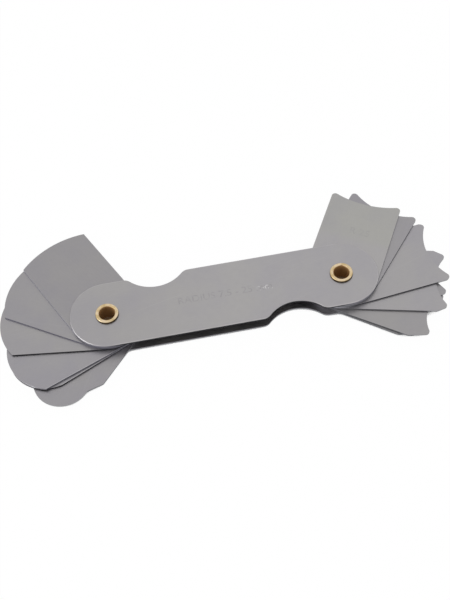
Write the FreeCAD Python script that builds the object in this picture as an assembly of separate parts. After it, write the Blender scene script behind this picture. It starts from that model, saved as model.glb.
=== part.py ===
import FreeCAD, Part
import math
import os

from FreeCAD import Vector

# Radius gauge: two cover plates carry a fan of convex gauge leaves at one end and a fan
# of concave gauge leaves at the other. Each fan turns on a hollow brass rivet.
# Millimetres. The origin is on the convex end's rivet axis, in the plane that the gauge
# lies on. +X runs to the other rivet and +Z is up.

# Holder
RIVET_SPACING = 63.9
COVER_WIDTH = 20.0
COVER_THICKNESS = 0.6
COVER_EDGE_BREAK = 0.12      # chamfer round each cover's outer face

# Finger notches, one in each long edge of the covers
NOTCH_RADIUS = 9.85
NOTCH_DEPTH = 3.8
NOTCH_FROM_RIVET = 14.45     # along the cover, from the nearer rivet
NOTCH_SHOULDER_RADIUS = 2.85  # rounds the notch into the long edge

# Hollow rivets
BORE_RADIUS = 2.1
BARREL_WALL = 0.4
RIM_OVERHANG = 0.6           # how far the rolled rim covers the plate round its hole
RIM_HEIGHT = 0.6             # how far the rim stands above the plate
ROLL_RADIUS = 0.35           # rounds the rim's mouth and its brim
ROLL_FLATS = 4               # flats that round each of these corners
BARREL_SEAT_CLEARANCE = 0.02  # radial, in the cover plates
BARREL_RUNNING_CLEARANCE = 0.05  # radial, in the leaves

# Leaves
LEAF_THICKNESS = 0.48
LEAF_SPACING = 0.02          # running gap between neighbours in the stack
LEAF_EDGE_INSET = 0.1        # closed leaf's long edge, inside the cover's edge
CLOSED_FANS_GAP = 6.85       # between the tips of the two fans when both are closed
CONVEX_LEAF_EXTRA = 0.45     # how much farther a convex leaf reaches than a concave one

# Convex leaf ends that are narrower than the leaf
LOBE_WRAP = 5.0              # degrees that the lobe runs on past its widest line
SHOULDER_SLOPE = 32.0        # degrees between the shoulder and the leaf's long edge
SHOULDER_FILLET = 1.0        # in the corner between lobe and shoulder

# Concave leaf ends
CONCAVE_DEPTH = 3.1          # from the horn tips to the bottom of the hollow
HORN_SLOPE = 26.5            # degrees between the horn's back and the leaf's long edge
HORN_TIP_RADIUS = 1.0
CONCAVE_EXTRA = {12.5: 0.4, 10: -0.2, 7.5: -0.3}  # by radius, how much longer a leaf is

# Gauge radii of both fans, from the top of the stack down, and each leaf's rest angle
GAUGE_RADII = [25, 17.5, 15, 12.5, 10, 7.5]
CONVEX_REST_ANGLES = [116.4, 147.8, 172.4, 202.0, 204.7, 228.1]
CONCAVE_REST_ANGLES = [60.4, 49.5, 6.4, -14.0, -35.0, -36.3]

# Sizes that follow from the ones above
END_RADIUS = COVER_WIDTH / 2
BARREL_RADIUS = BORE_RADIUS + BARREL_WALL
RIM_RADIUS = BARREL_RADIUS + RIM_OVERHANG
COVER_HOLE_RADIUS = BARREL_RADIUS + BARREL_SEAT_CLEARANCE
LEAF_HOLE_RADIUS = BARREL_RADIUS + BARREL_RUNNING_CLEARANCE
LEAF_HALF_WIDTH = END_RADIUS - LEAF_EDGE_INSET
CONVEX_REACH = (RIVET_SPACING - CLOSED_FANS_GAP + CONVEX_LEAF_EXTRA) / 2
CONCAVE_REACH = CONVEX_REACH - CONVEX_LEAF_EXTRA
LEAF_PITCH = LEAF_THICKNESS + LEAF_SPACING
LOWER_COVER_Z = RIM_HEIGHT
STACK_Z = LOWER_COVER_Z + COVER_THICKNESS + LEAF_SPACING
UPPER_COVER_Z = STACK_Z + len(GAUGE_RADII) * LEAF_PITCH
TOTAL_HEIGHT = UPPER_COVER_Z + COVER_THICKNESS + RIM_HEIGHT

CONVEX_AXIS = Vector(0, 0, 0)
CONCAVE_AXIS = Vector(RIVET_SPACING, 0, 0)
UP = Vector(0, 0, 1)
QUARTER_TURN = 90
HALF_TURN = 180


def polar(centre, radius, degrees):
    """Point on a circle, at an angle from +X."""
    angle = math.radians(degrees)
    return centre + Vector(radius * math.cos(angle), radius * math.sin(angle), 0)


def arc(centre, radius, start, end):
    """Arc round a centre from one angle to another, in degrees."""
    middle = polar(centre, radius, (start + end) / 2)
    return Part.Arc(polar(centre, radius, start), middle, polar(centre, radius, end)).toShape()


def line(start, end):
    return Part.makeLine(start, end)


def mirrored(point):
    """The point on the other side of a leaf's centre line."""
    return Vector(point.x, -point.y, point.z)


def plate(edges, thickness):
    """Flat plate with the outline that the edges close, standing on Z = 0."""
    outline = Part.Wire(Part.__sortEdges__(edges))
    return Part.Face(outline).extrude(UP * thickness)


def upright_edges(solid, points):
    """The solid's straight edges that stand over the given points."""
    found = []
    for edge in solid.Edges:
        foot = edge.Vertexes[0].Point
        head = edge.Vertexes[-1].Point
        if abs(foot.z - head.z) < 1e-6:
            continue
        for point in points:
            if math.hypot(foot.x - point.x, foot.y - point.y) < 1e-4:
                found.append(edge)
    return found


def drilled(solid, axis, radius):
    """The plate with a round hole through it."""
    depth = solid.BoundBox.ZLength
    drill = Part.makeCylinder(radius, 3 * depth, axis - UP * depth)
    return solid.cut(drill)


def cover_plate():
    """Round-ended plate with a notch in each long edge, its outer face up."""
    half = END_RADIUS
    solid = plate([
        arc(CONVEX_AXIS, half, 90, 270),
        line(polar(CONVEX_AXIS, half, 270), polar(CONCAVE_AXIS, half, 270)),
        arc(CONCAVE_AXIS, half, -90, 90),
        line(polar(CONCAVE_AXIS, half, 90), polar(CONVEX_AXIS, half, 90)),
    ], COVER_THICKNESS)

    # the notch circle stands off the long edge by its radius less its depth
    stand_off = NOTCH_RADIUS - NOTCH_DEPTH
    half_chord = math.sqrt(NOTCH_RADIUS ** 2 - stand_off ** 2)
    notches = [
        Vector(NOTCH_FROM_RIVET, half + stand_off, 0),
        Vector(RIVET_SPACING - NOTCH_FROM_RIVET, -half - stand_off, 0),
    ]
    shoulders = []
    for centre in notches:
        cutter = Part.makeCylinder(NOTCH_RADIUS, 3 * COVER_THICKNESS, centre - UP * COVER_THICKNESS)
        solid = solid.cut(cutter)
        edge_y = math.copysign(half, centre.y)
        shoulders.append(Vector(centre.x - half_chord, edge_y, 0))
        shoulders.append(Vector(centre.x + half_chord, edge_y, 0))
    solid = solid.makeFillet(NOTCH_SHOULDER_RADIUS, upright_edges(solid, shoulders))

    outer_edges = [edge for edge in solid.Edges
                   if min(vertex.Z for vertex in edge.Vertexes) > COVER_THICKNESS - 1e-6]
    solid = solid.makeChamfer(COVER_EDGE_BREAK, outer_edges)
    for axis in (CONVEX_AXIS, CONCAVE_AXIS):
        solid = drilled(solid, axis, COVER_HOLE_RADIUS)
    return solid


def upper_cover():
    solid = cover_plate()
    solid.translate(UP * UPPER_COVER_Z)
    return solid


def lower_cover():
    """The same plate turned over about its own middle, so that its outer face is down."""
    solid = cover_plate()
    solid = solid.mirror(UP * (COVER_THICKNESS / 2), UP)
    solid.translate(UP * LOWER_COVER_Z)
    return solid


def hollow_rivet(axis):
    """Tube with a rim rolled over at each end, turned from its half section."""
    def at(radius, z):
        return Vector(radius, 0, z)

    def roll(middle_radius, middle_z, start):
        """Points a quarter turn round a rolled corner, clockwise from the start angle."""
        points = []
        for flat in range(ROLL_FLATS + 1):
            angle = math.radians(start - QUARTER_TURN * flat / ROLL_FLATS)
            points.append(at(middle_radius + ROLL_RADIUS * math.cos(angle),
                             middle_z + ROLL_RADIUS * math.sin(angle)))
        return points

    mouth = BORE_RADIUS + ROLL_RADIUS
    brim = RIM_RADIUS - ROLL_RADIUS
    upper_face = UPPER_COVER_Z + COVER_THICKNESS
    section = [
        *roll(mouth, TOTAL_HEIGHT - ROLL_RADIUS, HALF_TURN),
        *roll(brim, TOTAL_HEIGHT - ROLL_RADIUS, QUARTER_TURN),
        at(RIM_RADIUS, upper_face),
        at(BARREL_RADIUS, upper_face),
        at(BARREL_RADIUS, LOWER_COVER_Z),
        at(RIM_RADIUS, LOWER_COVER_Z),
        *roll(brim, ROLL_RADIUS, 0),
        *roll(mouth, ROLL_RADIUS, -QUARTER_TURN),
    ]
    face = Part.Face(Part.makePolygon([*section, section[0]]))
    solid = face.revolve(Vector(0, 0, 0), UP, 2 * HALF_TURN)
    solid.translate(axis)
    return solid


def leaf_blank(end_edges, end_start):
    """Leaf along +X: a round tail on the rivet axis, two long edges and the given end."""
    half = LEAF_HALF_WIDTH
    pivot = Vector(0, 0, 0)
    return plate([
        arc(pivot, half, 90, 270),
        line(polar(pivot, half, 270), mirrored(end_start)),
        *end_edges,
        line(end_start, polar(pivot, half, 90)),
    ], LEAF_THICKNESS)


def convex_leaf(radius):
    """Leaf that ends in a lobe of the gauge radius, which touches the leaf's reach."""
    half = LEAF_HALF_WIDTH
    centre = Vector(CONVEX_REACH - radius, 0, 0)
    if radius >= half:
        # the lobe runs out into the long edges at a corner
        spread = math.degrees(math.asin(half / radius))
        start = polar(centre, radius, spread)
        return leaf_blank([arc(centre, radius, -spread, spread)], start)

    # the lobe is narrower than the leaf, and sloping shoulders widen it
    spread = QUARTER_TURN + LOBE_WRAP
    foot = polar(centre, radius, spread)
    run = (half - foot.y) / math.tan(math.radians(SHOULDER_SLOPE))
    start = Vector(foot.x - run, half, 0)
    solid = leaf_blank([
        line(mirrored(start), mirrored(foot)),
        arc(centre, radius, -spread, spread),
        line(foot, start),
    ], start)
    return solid.makeFillet(SHOULDER_FILLET, upright_edges(solid, [foot, mirrored(foot)]))


def concave_leaf(radius):
    """Leaf with a hollow of the gauge radius in its end, between two horns."""
    half = LEAF_HALF_WIDTH
    reach = CONCAVE_REACH + CONCAVE_EXTRA.get(radius, 0)
    centre = Vector(reach - CONCAVE_DEPTH + radius, 0, 0)
    to_tips = radius - CONCAVE_DEPTH
    tip_height = math.sqrt(radius ** 2 - to_tips ** 2)
    slope = math.radians(HORN_SLOPE)
    tip_angle = slope + math.acos(tip_height / radius)
    room_for_rounding = HORN_TIP_RADIUS / math.tan(tip_angle / 2)
    as_wide_as_leaf = half - tip_height < room_for_rounding * math.sin(slope)
    if as_wide_as_leaf:
        tip_height = half
    spread = math.degrees(math.asin(tip_height / radius))
    tip = polar(centre, radius, HALF_TURN - spread)
    hollow = arc(centre, radius, HALF_TURN + spread, HALF_TURN - spread)
    if as_wide_as_leaf:
        solid = leaf_blank([hollow], tip)
    else:
        # each horn's back slopes down to the long edge
        run = (half - tip_height) / math.tan(slope)
        start = Vector(tip.x - run, half, 0)
        horns = [line(mirrored(start), mirrored(tip)), hollow, line(tip, start)]
        solid = leaf_blank(horns, start)
    return solid.makeFillet(HORN_TIP_RADIUS, upright_edges(solid, [tip, mirrored(tip)]))


def placed_leaf(blank, axis, level, angle):
    """Leaf drilled for its rivet, turned to its rest angle and set into the stack."""
    solid = drilled(blank, Vector(0, 0, 0), LEAF_HOLE_RADIUS)
    solid.rotate(Vector(0, 0, 0), UP, angle)
    solid.translate(axis + UP * (STACK_Z + level * LEAF_PITCH))
    return solid


def fan(end_name, make_leaf, axis, rest_angles):
    """Named leaves of one end, made from the top of the stack down."""
    named = {}
    for count, (radius, angle) in enumerate(zip(GAUGE_RADII, rest_angles), start=1):
        size_name = f"{radius:g}".replace(".", "_")
        level = len(GAUGE_RADII) - count
        named[f"{end_name}_leaf_{size_name}"] = placed_leaf(make_leaf(radius), axis, level, angle)
    return named


pieces = {
    "upper_cover": upper_cover(),
    "lower_cover": lower_cover(),
    "convex_end_rivet": hollow_rivet(CONVEX_AXIS),
    "concave_end_rivet": hollow_rivet(CONCAVE_AXIS),
}
pieces.update(fan("convex", convex_leaf, CONVEX_AXIS, CONVEX_REST_ANGLES))
pieces.update(fan("concave", concave_leaf, CONCAVE_AXIS, CONCAVE_REST_ANGLES))

os.makedirs("parts", exist_ok=True)
for name, solid in pieces.items():
    solid.exportStep(f"parts/{name}.step")
    print(name, "valid" if solid.isValid() else "NOT VALID", len(solid.Solids), round(solid.Volume, 2))
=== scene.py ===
import math

import bpy
import numpy as np
from mathutils import Matrix, Vector


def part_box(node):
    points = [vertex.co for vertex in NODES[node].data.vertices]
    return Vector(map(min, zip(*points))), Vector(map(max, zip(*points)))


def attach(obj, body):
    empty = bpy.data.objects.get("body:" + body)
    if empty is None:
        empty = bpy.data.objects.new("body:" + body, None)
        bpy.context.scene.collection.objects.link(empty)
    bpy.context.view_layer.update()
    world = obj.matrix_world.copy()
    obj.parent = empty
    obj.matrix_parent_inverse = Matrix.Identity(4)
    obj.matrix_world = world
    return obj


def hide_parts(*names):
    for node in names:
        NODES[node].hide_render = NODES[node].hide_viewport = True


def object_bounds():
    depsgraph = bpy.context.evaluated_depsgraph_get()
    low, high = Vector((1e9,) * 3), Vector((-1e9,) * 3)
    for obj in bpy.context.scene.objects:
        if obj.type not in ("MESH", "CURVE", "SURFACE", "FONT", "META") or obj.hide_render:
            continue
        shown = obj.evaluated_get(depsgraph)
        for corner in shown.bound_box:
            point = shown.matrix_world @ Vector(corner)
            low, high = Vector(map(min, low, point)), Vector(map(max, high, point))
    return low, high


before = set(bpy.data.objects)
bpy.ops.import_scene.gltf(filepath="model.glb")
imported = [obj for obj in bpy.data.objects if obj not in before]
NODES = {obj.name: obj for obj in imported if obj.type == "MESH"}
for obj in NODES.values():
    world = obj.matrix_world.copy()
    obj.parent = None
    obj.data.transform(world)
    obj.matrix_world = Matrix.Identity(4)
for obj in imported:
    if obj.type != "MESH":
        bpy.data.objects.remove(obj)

CAD_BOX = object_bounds()
MM = 0.001

# Places on the gauge, in metres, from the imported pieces
BASE_Z, TOP_Z = CAD_BOX[0].z, CAD_BOX[1].z
COVER_TOP_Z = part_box("upper_cover")[1].z
COVER_FOOT_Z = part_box("lower_cover")[0].z
RIM_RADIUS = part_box("convex_end_rivet")[1].x
RIVET_SPACING = sum(corner.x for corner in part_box("concave_end_rivet")) / 2

# Rest angle of each leaf's centre line, in degrees from +X
CONVEX_ANGLES = {"25": 116.4, "17_5": 147.8, "15": 172.4, "12_5": 202.0, "10": 204.7,
                 "7_5": 228.1}
CONCAVE_ANGLES = {"25": 60.4, "17_5": 49.5, "15": 6.4, "12_5": -14.0, "10": -35.0,
                  "7_5": -36.3}
TOP_LEAF = "concave_leaf_25"

# Where each leaf's working arc begins, in millimetres from its rivet
ARC_FROM = {
    "convex": {"25": 26.7, "17_5": 25.7, "15": 25.0, "12_5": 23.9, "10": 18.4, "7_5": 21.0},
    "concave": dict.fromkeys(CONCAVE_ANGLES, 24.0),
}

# Colours as screen values, 0-255. A cover's face goes from one grey to another along its
# length, a painted light gradient that is lighter towards the concave end. Its sheared side
# has one grey at the middle and one at the ends: on the upper cover painted shade, dark along
# the middle, and painted light, bright at the ends; on the lower cover one light grey, also
# painted light.
COVER_GREYS = ((159, 157, 158), (164, 162, 163))
UPPER_COVER_SIDES = ((50, 50, 54), (176, 175, 186))
LOWER_COVER_SIDES = ((146, 146, 150), (146, 146, 150))

# Greys of a leaf's faces, sheared sides, ground working arc and rounded tail. The face
# greys are painted light and shade: darker on the convex fan, lighter on the concave one,
# and darker where a leaf lies in shade, as the concave R 17.5. The side, arc and tail greys
# are painted light and shade too: light where an edge faces the lamp or the open paper, dark
# where it faces away or lies over the leaf below, as the convex R 15's side.
CONVEX_GREYS = {
    "25": ((149, 147, 149), (186, 186, 196), (160, 160, 164), (150, 150, 160)),
    "17_5": ((152, 150, 152), (146, 145, 158), (160, 160, 164), (124, 123, 132)),
    "15": ((156, 154, 155), (52, 52, 58), (160, 160, 164), (74, 74, 80)),
    "12_5": ((154, 152, 155), (140, 140, 148), (200, 199, 204), (120, 120, 126)),
    "10": ((153, 151, 153), (96, 95, 102), (70, 70, 76), (96, 96, 102)),
    "7_5": ((153, 151, 153), (132, 132, 136), (156, 156, 158), (112, 112, 116)),
}
CONCAVE_GREYS = {
    "25": ((163, 162, 160), (130, 130, 134), (160, 160, 160), (168, 168, 174)),
    "17_5": ((152, 150, 153), (95, 95, 104), (150, 150, 152), (140, 140, 146)),
    "15": ((160, 158, 160), (96, 96, 102), (150, 150, 152), (166, 166, 172)),
    "12_5": ((160, 158, 160), (126, 126, 130), (150, 150, 152), (150, 150, 156)),
    "10": ((154, 152, 153), (120, 120, 124), (150, 150, 152), (160, 160, 166)),
    "7_5": ((152, 150, 151), (120, 120, 124), (140, 140, 142), (150, 150, 156)),
}
# The top leaf's face near its rivet takes the cover's grey there: painted light, as on the cover.
TOP_LEAF_TAIL_GREY = (164, 162, 163)

COVER_ETCH_GREY, WORN_ETCH_GREY = (158, 156, 157), (161, 160, 158)
DARK_ETCH_GREY = (104, 102, 105)
BRASS_CREAM, BRASS_GOLD = (221, 201, 170), (198, 175, 130)
BRASS_BORE = (184, 149, 104)
# Painted shade at the rim's foot, darkest on its shaded side.
BRASS_FOOT_SHADE = (74, 57, 30)
OPEN_SHADE, BORE_SHADE = (58, 57, 60), (64, 47, 30)
PAPER_GREYS = (239, 242)
WHITE = (1, 1, 1, 1)


def screen(rgb):
    """Linear colour of a 0-255 screen colour."""
    level = np.array(rgb) / 255.0
    linear = np.where(level <= 0.04045, level / 12.92, ((level + 0.055) / 1.055) ** 2.4)
    return (*linear.tolist(), 1.0)


# Shader maths


class Number:
    """A number socket of a shader. Arithmetic on it adds the Math nodes."""

    def __init__(self, finish, socket):
        self.finish, self.socket = finish, socket

    def math(self, operation, *values):
        inputs = dict(enumerate([self, *values]))
        return self.finish.node("ShaderNodeMath", {"operation": operation}, inputs)

    def __add__(self, other):
        return self.math("ADD", other)

    def __radd__(self, other):
        return self.math("ADD", other)

    def __mul__(self, other):
        return self.math("MULTIPLY", other)

    def __rmul__(self, other):
        return self.math("MULTIPLY", other)

    def __sub__(self, other):
        return self.math("SUBTRACT", other)

    def __rsub__(self, other):
        return self.math("MULTIPLY_ADD", -1.0, other)

    def ramp(self, low, high, to_low=0.0, to_high=1.0):
        """Smooth step from one value to another between two levels of this number."""
        return self.finish.node(
            "ShaderNodeMapRange", {"interpolation_type": "SMOOTHSTEP"},
            {"Value": self, "From Min": low, "From Max": high, "To Min": to_low,
             "To Max": to_high})


class Finish:
    """A material's node tree, built node by node."""

    def __init__(self, tree):
        self.tree = tree
        tree.nodes.clear()

    def node(self, kind, settings, inputs, output=0):
        """Adds a node, sets its settings, then sets or links its inputs. Returns one output."""
        made = self.tree.nodes.new(kind)
        for name, value in settings.items():
            setattr(made, name, value)
        for name, value in inputs.items():
            if isinstance(value, Number):
                self.tree.links.new(value.socket, made.inputs[name])
            else:
                made.inputs[name].default_value = value
        return Number(self, made.outputs[output]) if made.outputs else None

    def part(self, vector, axis):
        """One coordinate of a vector."""
        return self.node("ShaderNodeSeparateXYZ", {}, {"Vector": vector}, output=axis)

    def mix(self, factor, first, second, blend="MIX"):
        """Colour between two colours, or the first changed by the second."""
        return self.node("ShaderNodeMix", {"data_type": "RGBA", "blend_type": blend},
                         {"Factor": factor, 6: first, 7: second}, output=2)

    def noise(self, place, scale, detail, roughness):
        return self.node("ShaderNodeTexNoise", {},
                         {"Vector": place, "Scale": scale, "Detail": detail,
                          "Roughness": roughness}, output="Fac")

    def seen(self):
        """1 on camera rays and on those that metal or glass sends on, otherwise 0."""
        camera, glossy, passed = (
            self.node("ShaderNodeLightPath", {}, {}, output=f"Is {kind} Ray")
            for kind in ("Camera", "Glossy", "Transmission"))
        return camera.math("MAXIMUM", glossy).math("MAXIMUM", passed)

    def place(self, centre=(0, 0, 0), turn=0.0, stretch=(1, 1, 1)):
        """Object coordinates in millimetres, from a centre given in metres.

        They are turned by an angle in radians and stretched along each axis.
        """
        own = self.node("ShaderNodeTexCoord", {}, {}, output="Object")
        laid = self.node("ShaderNodeMapping", {"vector_type": "TEXTURE"},
                         {"Vector": own, "Location": centre, "Rotation": (0, 0, turn),
                          "Scale": (MM, MM, MM)})
        return self.node("ShaderNodeMapping", {}, {"Vector": laid, "Scale": stretch})


def new_finish(name):
    material = bpy.data.materials.new(name)
    material.use_nodes = True
    return material, Finish(material.node_tree)


def metal(finish, colour, roughness, height, relief):
    """Ends a finish as bare metal. Its relief is in millimetres."""
    normal = finish.node("ShaderNodeBump", {},
                         {"Strength": 1.0, "Distance": relief * MM, "Height": height})
    shader = finish.node("ShaderNodeBsdfPrincipled", {},
                         {"Base Color": colour, "Roughness": roughness, "Metallic": 1.0,
                          "Normal": normal})
    finish.node("ShaderNodeOutputMaterial", {}, {"Surface": shader})


# Steel

# Noise of each mark: cells per millimetre, detail, roughness
CLOUD_NOISE = (0.09, 3.0, 0.55)
MOTTLE_NOISE = (0.75, 3.0, 0.6)
GRAIN_NOISE = (1.0, 3.0, 0.6)
SCRATCH_NOISE = (1.0, 1.0, 0.4)
EDGE_HIGHLIGHT_NOISE = (0.16, 1.0, 0.5)

# Stretch of the marks that run along the sheet, and how far the scratches lean from it
GRAIN_STRETCH, SCRATCH_STRETCH = (0.35, 7.0, 1.0), (0.03, 5.0, 1.0)
SCRATCH_LEAN = 0.22

# Levels of noise or tilt between which each mark fades in
CLOUD_LEVELS, MOTTLE_LEVELS, GRAIN_LEVELS = (0.3, 0.7), (0.35, 0.75), (0.3, 0.8)
SCRATCH_LEVELS, EDGE_HIGHLIGHT_LEVELS = (0.70, 0.76), (0.42, 0.58)
FACE_LEVELS = (0.25, 0.6)

# Strength of the marks. Clouds are shares of the sheet's colour.
CLOUD_COOL, CLOUD_WARM = (0.967, 0.962, 0.990, 1.0), (1.033, 1.030, 1.012, 1.0)
MOTTLE_SHARE, GRAIN_SHARE, SCRATCH_SHARE = 0.08, 0.06, 0.10
DARKER, LIGHTER = 0.8, 1.5

FACE_ROUGHNESS, GRAIN_ROUGHNESS = (0.33, 0.39), 0.05
SIDE_ROUGHNESS, GROUND_ROUGHNESS = 0.6, 0.4
GRAIN_HEIGHT, SCRATCH_HEIGHT, MOTTLE_HEIGHT = 0.7, -1.0, 0.4
STEEL_RELIEF = 0.0012

# Millimetres: the painted edge highlight from its sheet's centre line, the tail from its rivet
EDGE_HIGHLIGHT_FROM, EDGE_HIGHLIGHT_BLEND = 9.74, 0.06
TAIL_LEVELS = (-3.0, 1.0)


def steel(name, greys, drift, side_greys, centre_x, grain_angle, worn, edge_highlight_share, length):
    """Satin rolled steel: clouds, fine grain along the sheet, a few hairline scratches.

    The face goes from the first grey to the second over the drift, a span in millimetres
    from the centre. The sheared side has the first side grey. Beyond a distance along the
    sheet from a middle, worn = (middle, distance, blend), it has the second: on a leaf that
    is its ground working arc, on a cover its rounded ends. The side greys are painted light
    and shade. A third side grey is that of the tail behind the rivet. The edge of the face,
    round both ends of a centre line of the given length, carries a thin painted highlight
    that comes and goes. The centre is in millimetres along X, the grain's angle in degrees.
    """
    material, finish = new_finish(name)
    centre, turn = (centre_x * MM, 0, 0), math.radians(grain_angle)
    sheet = finish.place(centre, turn)
    along, across = finish.part(sheet, "X"), finish.part(sheet, "Y")
    clouds = finish.noise(sheet, *CLOUD_NOISE)
    mottle = finish.noise(sheet, *MOTTLE_NOISE)
    grain = finish.noise(finish.place(centre, turn, GRAIN_STRETCH), *GRAIN_NOISE)
    lines = finish.noise(finish.place(centre, turn + SCRATCH_LEAN, SCRATCH_STRETCH),
                         *SCRATCH_NOISE)
    scratches = lines.ramp(*SCRATCH_LEVELS)
    # Painted highlight along the face's edge, round both ends of its centre line, shown in
    # patches.
    highlight_patches = finish.noise(sheet, *EDGE_HIGHLIGHT_NOISE).ramp(*EDGE_HIGHLIGHT_LEVELS, edge_highlight_share ** 2, 1.0)
    past_end = (0.0 - along).math("MAXIMUM", along - length).math("MAXIMUM", 0.0)
    from_line = (past_end * past_end + across * across).math("SQRT")
    edge_highlight = from_line.ramp(EDGE_HIGHLIGHT_FROM, EDGE_HIGHLIGHT_FROM + EDGE_HIGHLIGHT_BLEND) * highlight_patches * edge_highlight_share

    normal = finish.node("ShaderNodeTexCoord", {}, {}, output="Normal")
    face = finish.part(normal, "Z").math("ABSOLUTE").ramp(*FACE_LEVELS)
    # Where the side takes its second grey: a leaf's ground working arc, or a cover's ends, where
    # it is painted light.
    middle, distance, blend = worn
    ground = (along - middle).math("ABSOLUTE").ramp(distance - blend, distance + blend)

    first, second = (np.array(screen(grey)) for grey in greys)
    # The face's drift between two greys: on a cover a painted light gradient.
    plain = finish.mix(along.ramp(*drift), tuple(first), tuple(second))
    tint = finish.mix(clouds.ramp(*CLOUD_LEVELS), CLOUD_COOL, CLOUD_WARM)
    clouded = finish.mix(1.0, plain, tint, "MULTIPLY")
    spots = mottle.ramp(*MOTTLE_LEVELS, 0.0, MOTTLE_SHARE)
    spotted = finish.mix(spots, clouded, tuple(first * DARKER))
    light = scratches * SCRATCH_SHARE + grain.ramp(*GRAIN_LEVELS, 0.0, GRAIN_SHARE) + edge_highlight
    lined = finish.mix(light, spotted, tuple(np.minimum(first * LIGHTER, 1.0)))
    # Side greys: painted light and shade on the sheared edges.
    side = finish.mix(ground, screen(side_greys[0]), screen(side_greys[1]))
    if len(side_greys) > 2:
        side = finish.mix(along.ramp(*TAIL_LEVELS), screen(side_greys[2]), side)
    colour = finish.mix(face, side, lined)

    face_roughness = clouds.ramp(*CLOUD_LEVELS, *FACE_ROUGHNESS) + grain * GRAIN_ROUGHNESS
    side_roughness = ground.ramp(0.0, 1.0, SIDE_ROUGHNESS, GROUND_ROUGHNESS)
    roughness = face_roughness * face + (1.0 - face) * side_roughness
    height = grain * GRAIN_HEIGHT + scratches * SCRATCH_HEIGHT + mottle * MOTTLE_HEIGHT
    metal(finish, colour, roughness, height, STEEL_RELIEF)
    return material


# Etched lettering

# The bite, then the strokes with a painted glint, then the finish
BITE_NOISE, BITE_LEVELS = (0.8, 3.0, 0.6), (0.35, 0.65)
BRIGHT_BLEND, BRIGHT_LEVELS, BRIGHT_SHARE = 2.0, (0.44, 0.5), 0.6
BRIGHT_GAIN = 2.0
ETCH_ROUGHNESS_LEVELS, ETCH_ROUGHNESS = (0.3, 0.7), (0.36, 0.46)
ETCH_RELIEF = 0.002


def etched(name, grey, bite_share, bright_from):
    """Acid-etched lettering of one grey, darker and brighter in spots by the bite share.

    Past bright_from, in millimetres along X, some strokes carry a painted glint.
    """
    material, finish = new_finish(name)
    bite = finish.noise(finish.place(), *BITE_NOISE)
    full = np.array(screen(grey))
    bitten, proud = tuple(full * (1 - bite_share)), tuple(full * (1 + bite_share))
    marked = finish.mix(bite.ramp(*BITE_LEVELS), bitten, proud)
    along = finish.part(finish.place(), "X")
    # A painted glint on some strokes past bright_from, in a lighter grey.
    bright = along.ramp(bright_from, bright_from + BRIGHT_BLEND) * bite.ramp(*BRIGHT_LEVELS)
    bare = tuple(np.minimum(full * BRIGHT_GAIN, 1.0))
    colour = finish.mix(bright * BRIGHT_SHARE, marked, bare)
    roughness = bite.ramp(*ETCH_ROUGHNESS_LEVELS, *ETCH_ROUGHNESS)
    metal(finish, colour, roughness, bite, ETCH_RELIEF)
    return material


# Brass

# The tarnish and the rings of the turning, then the finish
TARNISH_NOISE, RING_NOISE, RING_STRETCH = (0.55, 3.0, 0.6), (1.0, 2.0, 0.5), (0.6, 0.6, 9.0)
TARNISH_COLOUR_LEVELS, TARNISH_ROUGHNESS_LEVELS = (0.38, 0.62), (0.3, 0.8)
BRASS_ROUGHNESS, BORE_ROUGHNESS, FOOT_ROUGHNESS = (0.24, 0.32), 0.45, 0.3
RING_HEIGHT, TARNISH_HEIGHT = 0.6, 0.4
BRASS_RELIEF = 0.006


def brass(name):
    """Turned brass: cream and gold on the rolled rim, brown down the bore, painted shade at its
    foot.
    """
    material, finish = new_finish(name)
    polish = finish.node("ShaderNodeAttribute", {"attribute_name": "polish"}, {}, output="Fac")
    foot = finish.node("ShaderNodeAttribute", {"attribute_name": "foot"}, {}, output="Fac")
    tarnish = finish.noise(finish.place(), *TARNISH_NOISE)
    rings = finish.noise(finish.place(stretch=RING_STRETCH), *RING_NOISE)
    rim = finish.mix(tarnish.ramp(*TARNISH_COLOUR_LEVELS), screen(BRASS_CREAM),
                     screen(BRASS_GOLD))
    barrel = finish.mix(polish, screen(BRASS_BORE), rim)
    # Painted shade at the rim's foot.
    colour = finish.mix(foot, barrel, screen(BRASS_FOOT_SHADE))
    roughness = (tarnish.ramp(*TARNISH_ROUGHNESS_LEVELS, *BRASS_ROUGHNESS)
                 + (1.0 - polish) * BORE_ROUGHNESS + foot * FOOT_ROUGHNESS)
    height = rings * RING_HEIGHT + tarnish * TARNISH_HEIGHT
    metal(finish, colour, roughness, height, BRASS_RELIEF)
    return material


# Rivets, in millimetres

BORE_RADIUS = 2.1
BARREL_RADIUS = 2.5
MOUTH_ROLL = 0.37
BRIM_ROLL = 0.3
BRIM_START = 84         # degrees: the brim's roll begins just outside its crown
RIM_FOOT = 0.26
TUCK_IN = (0.01, 0.05)  # how far the rim's foot draws in, half way down and at the plate
RIVET_SEGMENTS = 128
BORE_ROWS, MOUTH_ROWS, BRIM_ROWS = 9, 9, 10

# The nick: how far down the mouth it reaches, its spread outward and its half width in radians
NICK_REACH, NICK_SPREAD, NICK_WIDTH = 0.7, 0.22, 0.2

# The rim is a little out of round, with three low waves
WAVES, WAVE_HEIGHT, WAVES_FROM = 3, 0.012, BARREL_RADIUS + 0.3

# The polish fades in from the bore. The painted shade at the rim's foot reaches up by a least
# height and by up to twice the swing, highest on the shaded side, in degrees from +X.
POLISH_BLEND = 0.25
FOOT_LEAST, FOOT_SWING, FOOT_BLEND = 0.08, 0.13, 0.16
SHADED_SIDE = -65


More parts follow.
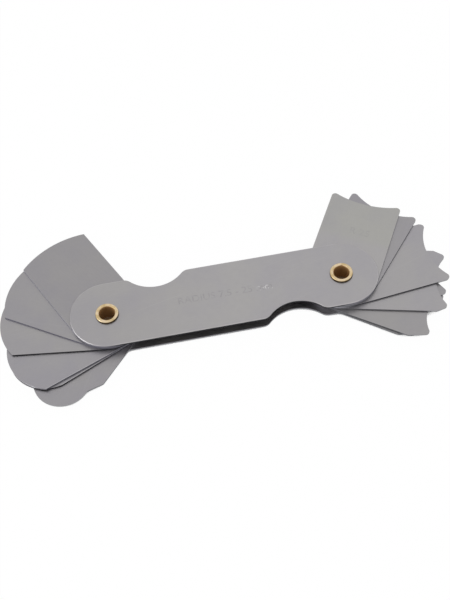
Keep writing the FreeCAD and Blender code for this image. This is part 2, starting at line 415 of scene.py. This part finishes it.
def mesh_piece(name, points, faces, material, body, replaced):
    """Smooth object at the origin from metre points and faces. It rides on a body."""
    mesh = bpy.data.meshes.new(name)
    mesh.from_pydata(points.tolist(), [], faces.tolist())
    mesh.materials.append(material)
    mesh.polygons.foreach_set("use_smooth", np.full(len(mesh.polygons), True))
    mesh.update()
    piece = bpy.data.objects.new(name, mesh)
    bpy.context.scene.collection.objects.link(piece)
    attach(piece, body)
    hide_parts(replaced)
    return piece


def roll(centre_r, centre_z, radius, start, end, count):
    """Points round part of a circle in the half section, angles in degrees from outward."""
    angle = np.radians(np.linspace(start, end, count))
    return np.stack([centre_r + radius * np.cos(angle), centre_z + radius * np.sin(angle)], 1)


def rivet_section():
    """Closed half section of a hollow rivet, as (radius, height) rows in millimetres.

    Up the bore, round the mouth, over the brim, in under it to the barrel, down the
    barrel and back round the lower rim. Each corner is part of a circle.
    """
    top, foot = TOP_Z / MM, BASE_Z / MM
    upper_face, lower_face = COVER_TOP_Z / MM, COVER_FOOT_Z / MM
    rim = RIM_RADIUS / MM
    mouth_r, brim_r = BORE_RADIUS + MOUTH_ROLL, rim - BRIM_ROLL
    bore_heights = np.linspace(foot + MOUTH_ROLL, top - MOUTH_ROLL, BORE_ROWS + 2)[1:-1]
    bore = np.stack([np.full(BORE_ROWS, BORE_RADIUS), bore_heights], 1)
    tuck = np.array([[rim, RIM_FOOT], [rim - TUCK_IN[0], RIM_FOOT / 2], [rim - TUCK_IN[1], 0],
                     [BARREL_RADIUS, 0]])
    return np.concatenate([
        bore,
        roll(mouth_r, top - MOUTH_ROLL, MOUTH_ROLL, 180, 90, MOUTH_ROWS),
        roll(brim_r, top - BRIM_ROLL, BRIM_ROLL, BRIM_START, 0, BRIM_ROWS),
        tuck + (0, upper_face),
        tuck[::-1] * (1, -1) + (0, lower_face),
        roll(brim_r, foot + BRIM_ROLL, BRIM_ROLL, 0, -BRIM_START, BRIM_ROWS),
        roll(mouth_r, foot + MOUTH_ROLL, MOUTH_ROLL, -90, -180, MOUTH_ROWS),
    ])


def hollow_rivet(node, centre_x, material, nick_angle, nick_depth):
    """The half section carried round the rivet's axis, with one nick in the mouth.

    Point = (radius * cos t, radius * sin t, height). Where the flare split as it was
    rolled, the radius near the mouth grows by a narrow bell curve of t. The rim's radius
    also grows and shrinks by a low sine of three waves a turn. The axis is at centre_x,
    in metres. The nick's angle is in degrees and its depth in millimetres.
    """
    section = rivet_section()
    turn = np.arange(RIVET_SEGMENTS) * (2 * np.pi / RIVET_SEGMENTS)
    radius = np.repeat(section[:, :1], RIVET_SEGMENTS, 1)
    height = np.repeat(section[:, 1:], RIVET_SEGMENTS, 1)
    away = np.angle(np.exp(1j * (turn - math.radians(nick_angle))))
    at_mouth = height > TOP_Z / MM - NICK_REACH
    near_mouth = np.exp(-((section[:, :1] - BORE_RADIUS) / NICK_SPREAD) ** 2) * at_mouth
    radius += nick_depth * np.exp(-(away / NICK_WIDTH) ** 2) * near_mouth
    radius += WAVE_HEIGHT * np.sin(WAVES * turn + nick_angle) * (section[:, :1] > WAVES_FROM)

    points = np.stack([radius * np.cos(turn), radius * np.sin(turn), height], 2) * MM
    points[..., 0] += centre_x
    rows, columns = np.meshgrid(np.arange(len(section)), np.arange(RIVET_SEGMENTS), indexing="ij")
    next_row, next_column = (rows + 1) % len(section), (columns + 1) % RIVET_SEGMENTS
    corners = [(rows, columns), (rows, next_column), (next_row, next_column), (next_row, columns)]
    faces = np.stack([r * RIVET_SEGMENTS + c for r, c in corners], 2).reshape(-1, 4)
    piece = mesh_piece(f"{node}_turned", points.reshape(-1, 3), faces[:, ::-1], material,
                       "holder", replaced=node)

    # Shares for the brass: polish from the bore out, and painted shade at the rim's foot,
    # reaching highest on the shaded side.
    off_plate = np.maximum(section[:, 1] - COVER_TOP_Z / MM, COVER_FOOT_Z / MM - section[:, 1])
    swing = FOOT_SWING * (1 + np.cos(turn - math.radians(SHADED_SIDE)))
    shade_reach = RIM_FOOT + FOOT_LEAST + swing
    polish = np.repeat((section[:, :1] - BORE_RADIUS) / POLISH_BLEND, RIVET_SEGMENTS, 1)
    foot = ((shade_reach - off_plate[:, None]) / FOOT_BLEND
            * (section[:, :1] > BARREL_RADIUS))
    for name, share in (("polish", polish), ("foot", foot)):
        attribute = piece.data.attributes.new(name, "FLOAT", "POINT")
        attribute.data.foreach_set("value", np.clip(share, 0, 1).ravel().astype(np.float32))
    return piece


# Lettering, in millimetres

ETCH_DEPTH = 0.02
ETCH_PROUD = 0.003
ETCH_BOLDNESS = 0.03
COVER_TEXT_SIZE, NUMBER_SIZE, TOP_NUMBER_SIZE = 3.0, 2.6, 3.1
NUMBER_FROM_RIVET = 17.5
TOP_NUMBER_SPOT = (15.3, -1.0, 0.0)     # along and across the top leaf


def lettering(name, words, size, place, turn, face_z, facing_up, material, body):
    """Words a hair proud of a face, readable from outside, centred on a place.

    The outline of the words is extruded by half its depth each way, turned, and set so
    that it stands proud of the face by its height above it.
    """
    curve = bpy.data.curves.new(name, "FONT")
    curve.body, curve.size = words, size * MM
    curve.align_x, curve.align_y = "CENTER", "CENTER"
    curve.extrude = ETCH_DEPTH * MM / 2
    curve.offset = ETCH_BOLDNESS * MM
    curve.resolution_u = 4
    raw = bpy.data.objects.new(name, curve)
    bpy.context.scene.collection.objects.link(raw)
    bpy.context.view_layer.update()
    shaped = raw.evaluated_get(bpy.context.evaluated_depsgraph_get())
    mesh = bpy.data.meshes.new_from_object(shaped)
    bpy.data.objects.remove(raw)
    flip = Matrix.Identity(4) if facing_up else Matrix.Rotation(math.pi, 4, "X")
    outward = 1 if facing_up else -1
    level = face_z + outward * (ETCH_PROUD - ETCH_DEPTH / 2) * MM
    mesh.transform(Matrix.Translation((place[0], place[1], level))
                   @ Matrix.Rotation(turn, 4, "Z") @ flip)
    mesh.name = name
    mesh.materials.clear()
    mesh.materials.append(material)
    piece = bpy.data.objects.new(name, mesh)
    bpy.context.scene.collection.objects.link(piece)
    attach(piece, body)
    return piece


# Camera, floor and light. Lengths are in metres.

# The camera's angles in radians
CAMERA_AZIMUTH, CAMERA_ELEVATION, CAMERA_ROLL = -0.142, 0.982, -0.055
CAMERA_TARGET = (31.505 * MM, -2.053 * MM, COVER_TOP_Z)
CAMERA_DISTANCE = 294.9 * MM
FOCAL_PIXELS, LONG_SIDE_PIXELS, SENSOR = 1105.4, 600, 36.0
CLIP_NEAR, CLIP_FAR = 0.01, 20.0

# The paper, with its fibres' noise as for the steel
FIBRE_NOISE, FIBRE_LEVELS = (0.8, 3.0, 0.6), (0.3, 0.7)
FLOOR_HALF = 1.5
SHADE_SAMPLES, SHADE_DISTANCE = 16, 0.012
SHADE_LEVELS = (0.19, 0.30)     # openness of the paper, from deep shade to white
SHOWN_SHARE = 0.98              # how much of what the camera sees is the shown white

LAMP_PLACE, LAMP_AIM = (-0.46, -0.08, 0.22), (0.0, 0.0, 0.0)
LAMP_WIDTH, LAMP_HEIGHT, LAMP_POWER = 0.4, 0.26, 0.8


def add_camera():
    """Camera at the photo's place, from the fit of the gauge's outline."""
    around, above, lean = CAMERA_AZIMUTH, CAMERA_ELEVATION, CAMERA_ROLL
    back = Vector((math.sin(around) * math.cos(above), -math.cos(around) * math.cos(above),
                   math.sin(above)))
    level = Vector((math.cos(around), math.sin(around), 0))
    upright = back.cross(level)
    right = math.cos(lean) * level + math.sin(lean) * upright
    up = math.cos(lean) * upright - math.sin(lean) * level
    data = bpy.data.cameras.new("camera")
    data.sensor_width, data.lens = SENSOR, FOCAL_PIXELS / LONG_SIDE_PIXELS * SENSOR
    data.clip_start, data.clip_end = CLIP_NEAR, CLIP_FAR
    camera = bpy.data.objects.new("camera", data)
    camera.matrix_world = (Matrix.Translation(Vector(CAMERA_TARGET) + back * CAMERA_DISTANCE)
                           @ Matrix((right, up, back)).transposed().to_4x4())
    bpy.context.scene.collection.objects.link(camera)
    bpy.context.scene.camera = camera


def add_floor():
    """White paper. It shows plain white where it is open, and a shade under the gauge.

    The shade is brown on the spots that are seen down the bores, and grey elsewhere.
    """
    material, finish = new_finish("white_paper")
    fibre = finish.noise(finish.place(), *FIBRE_NOISE)
    darker, lighter = (screen((grey,) * 3) for grey in PAPER_GREYS)
    matt = finish.node("ShaderNodeBsdfDiffuse", {},
                       {"Color": finish.mix(fibre.ramp(*FIBRE_LEVELS), darker, lighter)})
    openness = finish.node("ShaderNodeAmbientOcclusion", {"samples": SHADE_SAMPLES},
                           {"Distance": SHADE_DISTANCE}, output="AO")
    spot = finish.place()
    x, y = (finish.part(spot, axis) for axis in "XY")
    across = [x - rivet_x for rivet_x in (0.0, RIVET_SPACING / MM)]
    to_axis = [(off * off + y * y).math("SQRT") for off in across]
    in_bore = to_axis[0].math("MINIMUM", to_axis[1]).ramp(BORE_RADIUS, BARREL_RADIUS, 1.0, 0.0)
    shade = finish.mix(in_bore, screen(OPEN_SHADE), screen(BORE_SHADE))
    shown = finish.mix(openness.ramp(*SHADE_LEVELS), shade, WHITE)
    white = finish.node("ShaderNodeEmission", {}, {"Color": shown})
    surface = finish.node("ShaderNodeMixShader", {},
                          {0: finish.seen() * SHOWN_SHARE, 1: matt, 2: white})
    finish.node("ShaderNodeOutputMaterial", {}, {"Surface": surface})

    side = FLOOR_HALF
    corners = np.array([(-side, -side, 0), (side, -side, 0), (side, side, 0), (-side, side, 0)])
    mesh = bpy.data.meshes.new("floor")
    mesh.from_pydata((corners + (0, 0, BASE_Z)).tolist(), [], [(0, 1, 2, 3)])
    mesh.materials.append(material)
    floor = bpy.data.objects.new("floor", mesh)
    bpy.context.scene.collection.objects.link(floor)


def add_world():
    """White tent: the same white all round."""
    world = bpy.data.worlds.new("white_tent")
    bpy.context.scene.world = world
    world.use_nodes = True
    sky = Finish(world.node_tree)
    backdrop = sky.node("ShaderNodeBackground", {}, {"Color": WHITE, "Strength": 1.0})
    sky.node("ShaderNodeOutputWorld", {}, {"Surface": backdrop})


def add_lamp():
    """One soft lamp to the left, which brightens the rims that face it."""
    data = bpy.data.lights.new("left_softbox", "AREA")
    data.shape, data.size, data.size_y = "RECTANGLE", LAMP_WIDTH, LAMP_HEIGHT
    data.energy = LAMP_POWER
    lamp = bpy.data.objects.new("left_softbox", data)
    lamp.location = LAMP_PLACE
    away = Vector(LAMP_PLACE) - Vector(LAMP_AIM)
    lamp.rotation_euler = away.to_track_quat("Z", "Y").to_euler()
    bpy.context.scene.collection.objects.link(lamp)


bpy.context.scene.view_settings.view_transform = "Standard"
add_camera()
add_floor()
add_world()
add_lamp()

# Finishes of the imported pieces. Lengths and places along a sheet are in millimetres.

COVER_LENGTH = RIVET_SPACING / MM
COVER_MIDDLE = COVER_LENGTH / 2
# The cover's sheared side takes its second grey round both rounded ends: painted light.
COVER_LIT_ENDS = (COVER_MIDDLE, COVER_MIDDLE, 3.0)
# Spans of the face's grey drift: on the covers a painted light gradient; on the top leaf, from
# its tail's grey to its own.
COVER_DRIFT, LEAF_DRIFT = (-5.0, 38.0), (10.5, 14.5)
ARC_BLEND = 0.2
LEAF_LENGTH = 100.0     # past any leaf's end: its painted edge highlight runs along the sides and round the tail
# Shares of the painted edge highlight; strongest on the convex R 12.5 and R 10 leaves.
COVER_EDGE_HIGHLIGHT, LEAF_EDGE_HIGHLIGHT, STRONG_EDGE_HIGHLIGHT = 0.5, 0.15, 0.9
STRONG_HIGHLIGHT_LEAVES = ("convex_leaf_12_5", "convex_leaf_10")
FANS = [("convex", 0.0, CONVEX_ANGLES, CONVEX_GREYS),
        ("concave", RIVET_SPACING / MM, CONCAVE_ANGLES, CONCAVE_GREYS)]


def dress(node, material):
    """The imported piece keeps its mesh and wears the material."""
    piece = NODES[node]
    if not piece.material_slots:
        piece.data.materials.append(material)
    for holder in piece.material_slots:
        holder.material = material


for node, sides in (("upper_cover", UPPER_COVER_SIDES), ("lower_cover", LOWER_COVER_SIDES)):
    dress(node, steel(f"{node}_steel", COVER_GREYS, COVER_DRIFT, sides, 0.0, 0.0, COVER_LIT_ENDS,
                      COVER_EDGE_HIGHLIGHT, COVER_LENGTH))

for end, rivet_x, angles, greys in FANS:
    for size, angle in angles.items():
        leaf = f"{end}_leaf_{size}"
        grey, *side_greys = greys[size]
        tail_grey = TOP_LEAF_TAIL_GREY if leaf == TOP_LEAF else grey
        worn = (0.0, ARC_FROM[end][size], ARC_BLEND)
        edge_highlight_share = STRONG_EDGE_HIGHLIGHT if leaf in STRONG_HIGHLIGHT_LEAVES else LEAF_EDGE_HIGHLIGHT
        dress(leaf, steel(f"{end}_steel_{size}", (tail_grey, grey), LEAF_DRIFT, side_greys,
                          rivet_x, angle, worn, edge_highlight_share, LEAF_LENGTH))

BRASS = brass("rivet_brass")
hollow_rivet("convex_end_rivet", 0.0, BRASS, nick_angle=20, nick_depth=0.07)
hollow_rivet("concave_end_rivet", RIVET_SPACING, BRASS, nick_angle=75, nick_depth=0.16)

# The range on the cover, and each leaf's radius on its lower face

# Where the painted glint on the strokes begins, in millimetres along X
COVER_BRIGHT_FROM, NOWHERE = 40.0, 1000.0
CLEAR_BITE, FAINT_BITE = 0.065, 0.03
COVER_ETCH = etched("cover_etched_mark", COVER_ETCH_GREY, CLEAR_BITE, COVER_BRIGHT_FROM)
WORN_ETCH = etched("worn_etched_mark", WORN_ETCH_GREY, FAINT_BITE, NOWHERE)
DARK_ETCH = etched("dark_etched_mark", DARK_ETCH_GREY, CLEAR_BITE, NOWHERE)
lettering("cover_range_etch", "RADIUS 7.5 - 25 mm", COVER_TEXT_SIZE, (RIVET_SPACING * 0.5, 0.0),
          0.0, COVER_TOP_Z, True, COVER_ETCH, "holder")

for end, rivet_x, angles, _ in FANS:
    for size, angle in angles.items():
        leaf = f"{end}_leaf_{size}"
        low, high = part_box(leaf)
        turn = math.radians(angle)
        reach = NUMBER_FROM_RIVET * MM
        place = (rivet_x * MM + reach * math.cos(turn), reach * math.sin(turn))
        number = size.replace("_", ".")
        lettering(f"{leaf}_number", number, NUMBER_SIZE, place, turn - math.pi / 2, low.z, False,
                  DARK_ETCH, leaf)
        if leaf == TOP_LEAF:
            spot = Matrix.Rotation(turn, 3, "Z") @ (Vector(TOP_NUMBER_SPOT) * MM)
            place = (rivet_x * MM + spot.x, spot.y)
            lettering(f"{leaf}_top_number", f"R {number}", TOP_NUMBER_SIZE, place,
                      turn - math.pi / 2, high.z, True, WORN_ETCH, leaf)
